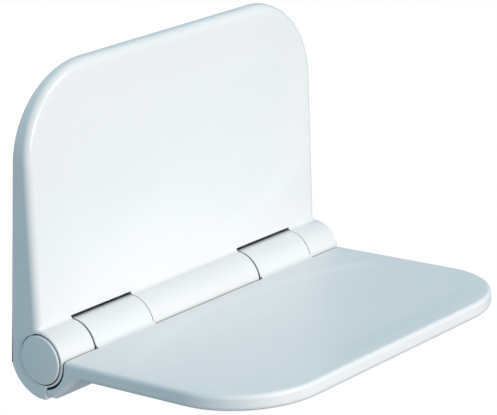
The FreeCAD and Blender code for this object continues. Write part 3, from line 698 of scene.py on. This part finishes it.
def back_pocket():
    """Hollow behind the leaning face, with ribs and screw bosses left standing."""
    loop = ring_points(WALL, BACK_CORNER_Z, POCKET_BOTTOM)
    skin = Skin()
    front = [(x, FACE_BEHIND + math.tan(LEAN) * z + WALL + DISH_DEPTH, z) for x, z in loop]
    skin.loft(front, [(x, REAR + BEYOND, z) for x, z in loop])
    pocket = skin.solid("pocket")
    upright = Skin()
    for x in BACK_RIB_X:
        upright.box((x - RIB / 2, x + RIB / 2), (-BEYOND, RIB_REAR), (0, TOP))
    for x in (-BOSS_X, BOSS_X):
        for z in BOSS_Z:
            upright.rod(BOSS_RADIUS, 0, FRAME_FRONT, along_y(x, z), SCREW_SIDES)
    level = Skin()
    for z in BACK_RIB_Z:
        level.box((-HALF, HALF), (-BEYOND, RIB_REAR), (z - RIB / 2, z + RIB / 2))
    return cut(cut(pocket, upright.solid("ribs")), level.solid("ribs"))


def barrel_hollow():
    """Hollow of the barrel and lip, closed off beside each window by a knuckle's end wall."""
    inner = HALF - WALL
    skin = Skin()
    skin.rod(BORE_RADIUS, -HALF - BEYOND, HALF + BEYOND, along_x, BARREL_SIDES)
    hollow = skin.solid("hollow")
    rear = Skin()
    rear.box((-inner, inner), (BARREL_RADIUS / 2, REAR + BEYOND),
             (REAR_OPENING, POCKET_BOTTOM + OVERLAP))
    hollow = combine(hollow, rear.solid("rear"))
    low = Skin()
    quarter = [(0, 0)] + turn(LIP_RADIUS - WALL, -math.pi / 2, 0, QUARTER_STEPS)
    low.loft([(-inner, y, z) for y, z in quarter], [(inner, y, z) for y, z in quarter])
    hollow = combine(hollow, low.solid("low"))
    walls = Skin()
    for start, end in WINDOWS:
        walls.rod(END_WALL_RADIUS, start - WALL, start, along_x, BARREL_SIDES)
        walls.rod(END_WALL_RADIUS, end, end + WALL, along_x, BARREL_SIDES)
    for x in (-LOCK_X, LOCK_X):
        walls.rod(LOCK_SLEEVE, -LIP_RADIUS - BEYOND, LOCK_TOP, along_z(x, LOCK_Y), HOLE_SIDES)
    return cut(hollow, walls.solid("walls"))


def small_holes():
    """Bores for the hinge rod and the lock screws, and seats for the stop pads in the lip."""
    skin = Skin()
    skin.rod(ROD_HOLE, -WINDOW_OUTER - 2 * WALL, WINDOW_OUTER + 2 * WALL, along_x, HOLE_SIDES)
    for x in (-LOCK_X, LOCK_X):
        skin.rod(LOCK_BORE, -LIP_RADIUS - BEYOND, LOCK_TOP + BEYOND, along_z(x, LOCK_Y), HOLE_SIDES)
    for x in PAD_X:
        skin.box((x - PAD_HALF, x + PAD_HALF), (-LIP_FRONT - BEYOND, PAD_DEPTH - LIP_FRONT), PAD_Z)
    return skin.solid("holes")


def backrest():
    skin = backrest_skin()
    skin.soften([x for pair in WINDOWS for x in pair], RIM_BEVEL)
    piece = skin.solid("backrest_moulding")
    cut(piece, back_pocket())
    cut(piece, barrel_hollow())
    return cut(piece, small_holes())


# ---- what is cut out of the seat ----
def level_prism(skin, inset, low, z0, z1):
    """Solid with the seat's outline, shrunk by `inset`, between the levels z0 and z1."""
    loop = ring_points(inset, SEAT_CORNER_R, low)
    skin.loft([(x, -r, z0) for x, r in loop], [(x, -r, z1) for x, r in loop])


def seat_hollow():
    """Ribbed hollow in the seat's underside, with bosses for the cover screws."""
    skin = Skin()
    level_prism(skin, COVER_INSET + LEDGE, COVER_START + LEDGE, SEAT_BOTTOM - BEYOND, SEAT_CEILING)
    hollow = skin.solid("hollow")
    upright = Skin()
    for x in SEAT_RIB_X:
        upright.box((x - RIB / 2, x + RIB / 2), (-SEAT_REACH, 0), (RIB_FOOT, SEAT_TOP))
    across = Skin()
    for reach in SEAT_RIB_REACH:
        across.box((-HALF, HALF), (-reach - RIB / 2, -reach + RIB / 2), (RIB_FOOT, SEAT_TOP))
    bosses = Skin()
    for x, reach in COVER_SCREWS:
        bosses.rod(SCREW_BOSS, COVER_TOP, SEAT_TOP, along_z(x, -reach), SCREW_SIDES)
    cut(hollow, upright.solid("ribs"))
    cut(hollow, across.solid("ribs"))
    return cut(hollow, bosses.solid("bosses"))


def arm_room():
    """Room for the hinge arms' bars inside the seat."""
    skin = Skin()
    for start, end in KNUCKLES:
        middle = (start + end) / 2
        skin.box((middle - ARM_HALF, middle + ARM_HALF), (-ARM_REACH, 0),
                 (SEAT_CEILING - ARM_DEPTH, SEAT_CEILING - ARM_COVER))
    return skin.solid("arms")


def seat():
    skin = seat_skin()
    skin.soften([x for pair in KNUCKLES for x in pair], RIM_BEVEL)
    piece = skin.solid("seat_moulding")
    ledge = Skin()
    level_prism(ledge, COVER_INSET, COVER_START, SEAT_BOTTOM - BEYOND, COVER_TOP)
    cut(piece, ledge.solid("ledge"))
    cut(piece, seat_hollow())
    cut(piece, arm_room())
    bores = Skin()
    for start, end in KNUCKLES:
        bores.rod(BUSH_RADIUS, start - OVERLAP, end + OVERLAP, along_x, BUSH_SIDES)
    cut(piece, bores.solid("bores"))
    return tip_up(piece)


def tip_up(piece):
    """Turn a piece made level to the seat's resting slope."""
    piece.data.transform(Matrix.Rotation(-RISE, 4, "X"))
    return piece


def base_cover():
    """Plate that closes the seat's underside, with a softened edge and countersunk holes."""
    inset = COVER_INSET + COVER_GAP
    low = COVER_START + COVER_GAP
    levels = [(inset + COVER_EDGE, low + COVER_EDGE, SEAT_BOTTOM),
              (inset + COVER_EDGE_MIDDLE, low + COVER_EDGE_MIDDLE, SEAT_BOTTOM + COVER_EDGE_MIDDLE),
              (inset, low, SEAT_BOTTOM + COVER_EDGE),
              (inset, low, COVER_TOP)]
    rings = [[(x, -r, z) for x, r in ring_points(d, SEAT_CORNER_R, near)] for d, near, z in levels]
    skin = Skin()
    skin.grid([ring + ring[:1] for ring in rings])
    skin.polygon(rings[0])
    skin.polygon(rings[-1])
    skin.weld()
    piece = skin.solid("seat_cover")
    holes = Skin()
    sinks = Skin()
    for x, reach in COVER_SCREWS:
        place = along_z(x, -reach)
        holes.rod(SCREW_SHANK, SEAT_BOTTOM - BEYOND, SEAT_TOP, place, SCREW_SIDES)
        sinks.rod(SCREW_HEAD + SCREW_SLOPE * OVERLAP, SEAT_BOTTOM - OVERLAP,
                  SEAT_BOTTOM + SCREW_HEAD_DEPTH, place, SCREW_SIDES, SCREW_SHANK)
    cut(piece, holes.solid("holes"))
    return tip_up(cut(piece, sinks.solid("sinks")))


# ---- end caps ----
def cap_profile():
    """(depth, radius) of the cap, from the barrel's end inwards: its domed face stands proud, and
    behind the soft rim come an undercut neck and a hollow skirt."""
    flat = CAP_RADIUS - CAP_EDGE
    rim = CAP_DOME - CAP_PROUD
    profile = [(CAP_DOME * (r / flat) ** 2 - CAP_PROUD, r) for r in spread(0.0, flat, CAP_RING_STEP)]
    for along, out in arc_about((0, 0), CAP_EDGE, math.pi, math.pi / 2, CAP_EDGE_STEPS)[1:]:
        profile.append((rim + CAP_EDGE + along, flat + out))
    inside = CAP_NECK_END + CAP_WALL
    profile += [(CAP_UNDERSIDE, CAP_RADIUS), (CAP_UNDERSIDE, CAP_NECK)]
    profile += [(CAP_NECK_END, CAP_NECK), (CAP_NECK_END, CAP_SKIRT)]
    profile += [(CAP_SKIRT_END, CAP_SKIRT), (CAP_SKIRT_END, CAP_SKIRT - CAP_WALL)]
    return profile + [(inside, CAP_SKIRT - CAP_WALL), (inside, 0.0)]


def end_cap(side):
    skin = Skin()
    ring = arc_about((0, 0), 1.0, 0, 2 * math.pi, CAP_SIDES)
    skin.grid([[(side * (HALF - d), r * c, r * s) for c, s in ring] for d, r in cap_profile()])
    skin.weld()
    return skin.solid("cap")


# ---- materials ----
class Finish:
    """One procedural material: helpers that add nodes fed by the object's own coordinates."""

    def __init__(self, name):
        self.material = bpy.data.materials.new(name)
        self.material.use_nodes = True
        self.tree = self.material.node_tree
        self.shader = self.tree.nodes["Principled BSDF"]
        self.place = self.add("ShaderNodeTexCoord").outputs["Object"]

    def add(self, kind, constants=(), **settings):
        """Add a node with its settings, and with constants on its inputs."""
        node = self.tree.nodes.new(kind)
        for key, value in settings.items():
            setattr(node, key, value)
        for name, value in dict(constants).items():
            node.inputs[name].default_value = value
        return node

    def set(self, name, value):
        """Give the shader one value all over the surface."""
        self.shader.inputs[name].default_value = value

    def link(self, output, target):
        self.tree.links.new(output, target)

    def stretched(self, scale):
        """The object's coordinates, scaled by a different factor along each axis."""
        node = self.add("ShaderNodeMapping", {"Scale": scale})
        self.link(self.place, node.inputs["Vector"])
        return node.outputs["Vector"]

    def noise(self, scale, detail=2.0, place=None):
        """Cloudy pattern; `scale` is how many of its patches fit in a metre."""
        node = self.add("ShaderNodeTexNoise", {"Scale": scale, "Detail": detail})
        self.link(place or self.place, node.inputs["Vector"])
        return node.outputs["Fac"]

    def cells(self, scale):
        """Patchwork pattern of small cells, each with a tone of its own."""
        node = self.add("ShaderNodeTexVoronoi", {"Scale": scale})
        self.link(self.place, node.inputs["Vector"])
        return node.outputs["Color"]

    def ranged(self, value, low, high):
        """Spread the middle of a 0 to 1 pattern between low and high."""
        node = self.add("ShaderNodeMapRange", {"From Min": PATTERN_LOW, "From Max": PATTERN_HIGH,
                                               "To Min": low, "To Max": high})
        self.link(value, node.inputs["Value"])
        return node.outputs["Result"]

    def colour(self, value, first, second):
        """Let the base colour wander between two colours."""
        node = self.add("ShaderNodeMix", {"A": (*first, 1), "B": (*second, 1)}, data_type="RGBA")
        self.link(self.ranged(value, 0.0, 1.0), node.inputs["Factor"])
        self.link(node.outputs["Result"], self.shader.inputs["Base Color"])

    def paint_gap_shade(self):
        """Painted shade: turn the base colour dark inside narrow gaps, by ambient occlusion, where hardly
        any light comes in.
        """
        light = self.add("ShaderNodeAmbientOcclusion", {"Distance": GAP_SHADE_REACH * MM}, samples=GAP_SHADE_SAMPLES)
        open_part = self.add("ShaderNodeMapRange", {"From Min": GAP_SHADE_CLOSED, "From Max": GAP_SHADE_OPEN})
        mix = self.add("ShaderNodeMix", {"A": PAINTED_GAP_SHADE}, data_type="RGBA")
        target = self.shader.inputs["Base Color"]
        self.link(light.outputs["AO"], open_part.inputs["Value"])
        self.link(open_part.outputs["Result"], mix.inputs["Factor"])
        self.link(target.links[0].from_socket, mix.inputs["B"])
        self.link(mix.outputs["Result"], target)

    def roughness(self, value, low, high):
        """Let the roughness wander between two values."""
        self.link(self.ranged(value, low, high), self.shader.inputs["Roughness"])

    def bump(self, height, depth):
        """Relief of about `depth` millimetres; repeated calls add up."""
        node = self.add("ShaderNodeBump", {"Distance": depth * MM})
        self.link(height, node.inputs["Height"])
        target = self.shader.inputs["Normal"]
        if target.is_linked:
            self.link(target.links[0].from_socket, node.inputs["Normal"])
        self.link(node.outputs["Normal"], target)


def gloss_plastic(name, first, second, polish):
    """Glossy moulded plastic: faint cloudiness, slightly uneven polish, very fine orange peel, and painted
    shade that darkens its narrow gaps.
    """
    finish = Finish(name)
    finish.colour(finish.noise(9.0, detail=3.0), first, second)
    # painted shade: the base colour goes dark in narrow gaps
    finish.paint_gap_shade()
    finish.roughness(finish.noise(60.0, detail=4.0), *polish)
    finish.bump(finish.noise(420.0, detail=1.0), depth=0.012)
    finish.bump(finish.noise(2600.0), depth=0.003)
    finish.set("IOR", 1.49)
    finish.set("Subsurface Weight", 0.08)
    finish.set("Subsurface Radius", (1.0, 1.0, 1.0))
    finish.set("Subsurface Scale", 1.5 * MM)
    return finish.material


def grained_plastic():
    """Spark-eroded mould grain on the seat's cover."""
    finish = Finish("cover_grain")
    finish.colour(finish.noise(700.0, detail=3.0), (0.74, 0.76, 0.77), (0.80, 0.81, 0.82))
    finish.roughness(finish.noise(900.0), low=0.45, high=0.62)
    finish.bump(finish.noise(1500.0, detail=4.0), depth=0.06)
    return finish.material


def rubber():
    """Matt black rubber of the gasket and the stop pads."""
    finish = Finish("rubber")
    finish.colour(finish.noise(300.0, detail=4.0), (0.010, 0.011, 0.012), (0.028, 0.028, 0.029))
    finish.roughness(finish.noise(500.0), low=0.6, high=0.85)
    finish.bump(finish.noise(1800.0, detail=3.0), depth=0.05)
    return finish.material


def zinc():
    """Zinc-plated sheet: small crystal patches that differ in tone and polish."""
    finish = Finish("zinc_plate")
    finish.colour(finish.cells(260.0), (0.57, 0.59, 0.61), (0.62, 0.64, 0.65))
    finish.roughness(finish.noise(240.0, detail=5.0), low=0.30, high=0.46)
    finish.bump(finish.noise(900.0, detail=4.0), depth=0.02)
    finish.set("Metallic", 1.0)
    return finish.material


def stainless():
    """Turned stainless: fine rings about the hinge axis."""
    finish = Finish("stainless")
    rings = finish.noise(500.0, place=finish.stretched((8.0, 0.3, 0.3)))
    finish.colour(rings, (0.58, 0.58, 0.57), (0.70, 0.70, 0.69))
    finish.roughness(rings, low=0.28, high=0.40)
    finish.bump(rings, depth=0.01)
    finish.set("Metallic", 1.0)
    return finish.material


def cast_metal():
    """Aluminium as it comes out of the mould: blotchy, dull and a little rough."""
    finish = Finish("cast_aluminium")
    finish.colour(finish.noise(180.0, detail=5.0), (0.56, 0.57, 0.58), (0.68, 0.69, 0.70))
    finish.roughness(finish.noise(420.0, detail=3.0), low=0.42, high=0.62)
    finish.bump(finish.noise(700.0, detail=5.0), depth=0.08)
    finish.set("Metallic", 1.0)
    return finish.material


def nylon():
    """Natural, slightly yellow nylon of the bushes."""
    finish = Finish("nylon")
    finish.colour(finish.noise(120.0, detail=3.0), (0.70, 0.68, 0.60), (0.76, 0.74, 0.67))
    finish.roughness(finish.noise(400.0), low=0.36, high=0.50)
    finish.bump(finish.noise(1200.0), depth=0.02)
    finish.set("Subsurface Weight", 0.15)
    finish.set("Subsurface Scale", 1.0 * MM)
    return finish.material


# ---- camera, lights, floor ----
def make_camera():
    """Long-lens camera that looks down at the object from its left."""
    forward = Vector((math.sin(CAMERA_YAW) * math.cos(CAMERA_PITCH),
                      math.cos(CAMERA_YAW) * math.cos(CAMERA_PITCH),
                      -math.sin(CAMERA_PITCH)))
    level = Vector((math.cos(CAMERA_YAW), -math.sin(CAMERA_YAW), 0))
    down = forward.cross(level)
    right = math.cos(CAMERA_ROLL) * level + math.sin(CAMERA_ROLL) * down
    up = math.sin(CAMERA_ROLL) * level - math.cos(CAMERA_ROLL) * down
    data = bpy.data.cameras.new("camera")
    data.lens = CAMERA_LENS
    data.sensor_width = CAMERA_SENSOR
    camera = bpy.data.objects.new("camera", data)
    bpy.context.scene.collection.objects.link(camera)
    rotation = Matrix((right, up, -forward)).transposed()
    camera.matrix_world = Matrix.Translation(CAMERA_AIM - forward * CAMERA_DISTANCE) @ rotation.to_4x4()
    bpy.context.scene.camera = camera


def soft_light(name, place, power):
    """Warm rectangular soft box that looks at the object's middle."""
    data = bpy.data.lights.new(name, "AREA")
    data.shape = "RECTANGLE"
    data.size, data.size_y = SOFT_BOX
    data.energy = power
    data.color = WARM_WHITE
    light = bpy.data.objects.new(name, data)
    bpy.context.scene.collection.objects.link(light)
    light.location = place
    light.rotation_mode = "QUATERNION"
    light.rotation_quaternion = (CAMERA_AIM - Vector(place)).to_track_quat("-Z", "Y")


def show_only_to_camera(tree, lighting, seen, output):
    """Let camera rays see one shader while the light comes from the other."""
    path = tree.nodes.new("ShaderNodeLightPath")
    either = tree.nodes.new("ShaderNodeMixShader")
    tree.links.new(path.outputs["Is Camera Ray"], either.inputs[0])
    tree.links.new(lighting.outputs[0], either.inputs[1])
    tree.links.new(seen.outputs[0], either.inputs[2])
    tree.links.new(either.outputs[0], output.inputs["Surface"])


def make_surroundings():
    """Cool sky-like fill and two warm soft boxes; the backdrop itself looks plain white."""
    world = bpy.data.worlds.new("studio")
    world.use_nodes = True
    nodes = world.node_tree.nodes
    fill = nodes["Background"]
    fill.inputs["Color"].default_value = FILL_COLOUR
    fill.inputs["Strength"].default_value = FILL_STRENGTH
    white = nodes.new("ShaderNodeBackground")
    white.inputs["Color"].default_value = (1, 1, 1, 1)
    show_only_to_camera(world.node_tree, fill, white, nodes["World Output"])
    bpy.context.scene.world = world
    bpy.context.scene.view_settings.view_transform = "Standard"
    soft_light("key", KEY_PLACE, KEY_POWER)
    soft_light("high", HIGH_PLACE, HIGH_POWER)


def make_floor():
    """Plain pale floor, drawn in metres, so far below that the object's shadow is out of view."""
    finish = Finish("pale_floor")
    finish.colour(finish.noise(0.8), (0.40, 0.40, 0.40), (0.44, 0.44, 0.44))
    glow = finish.add("ShaderNodeEmission")
    show_only_to_camera(finish.tree, finish.shader, glow, finish.tree.nodes["Material Output"])
    skin = Skin()
    places = spread(-FLOOR_HALF, FLOOR_HALF, FLOOR_CELL)
    skin.grid([[(x, y, FLOOR_Z) for x in places] for y in places])
    skin.weld()
    floor = skin.solid("floor")
    floor.data.materials.append(finish.material)


# ---- everything together ----
def dress_cad_nodes():
    """Give every carried-over CAD node its procedural finish, by the record's material slots."""
    finishes = {"black_rubber": rubber(), "zinc_steel": zinc(), "stainless_steel": stainless(),
                "cast_aluminium": cast_metal(), "nylon": nylon()}
    for node in frame["nodes"].values():
        for holder in node.material_slots:
            kind = holder.material.name.split(".")[0]
            if kind in finishes:
                holder.material = finishes[kind]


def make_pieces():
    """The five pieces that replace CAD nodes."""
    back_white = gloss_plastic("backrest_white", (0.84, 0.855, 0.855), (0.87, 0.88, 0.88), GLOSS)
    seat_white = gloss_plastic("seat_white", (0.83, 0.85, 0.855), (0.86, 0.875, 0.88), SATIN)
    cap_white = gloss_plastic("cap_white", (0.82, 0.84, 0.85), (0.85, 0.865, 0.87), GLOSS)
    finish_piece(backrest(), "backrest", "backrest_shell", back_white)
    finish_piece(seat(), "seat", "seat_shell", seat_white)
    finish_piece(base_cover(), "seat", "seat_base_cover", grained_plastic())
    for side, name in ((-1, "left"), (1, "right")):
        cap = end_cap(side)
        cap.name = "cap_" + name
        finish_piece(cap, "backrest", "end_cap_" + name, cap_white)


make_camera()
dress_cad_nodes()
make_pieces()
make_surroundings()
make_floor()
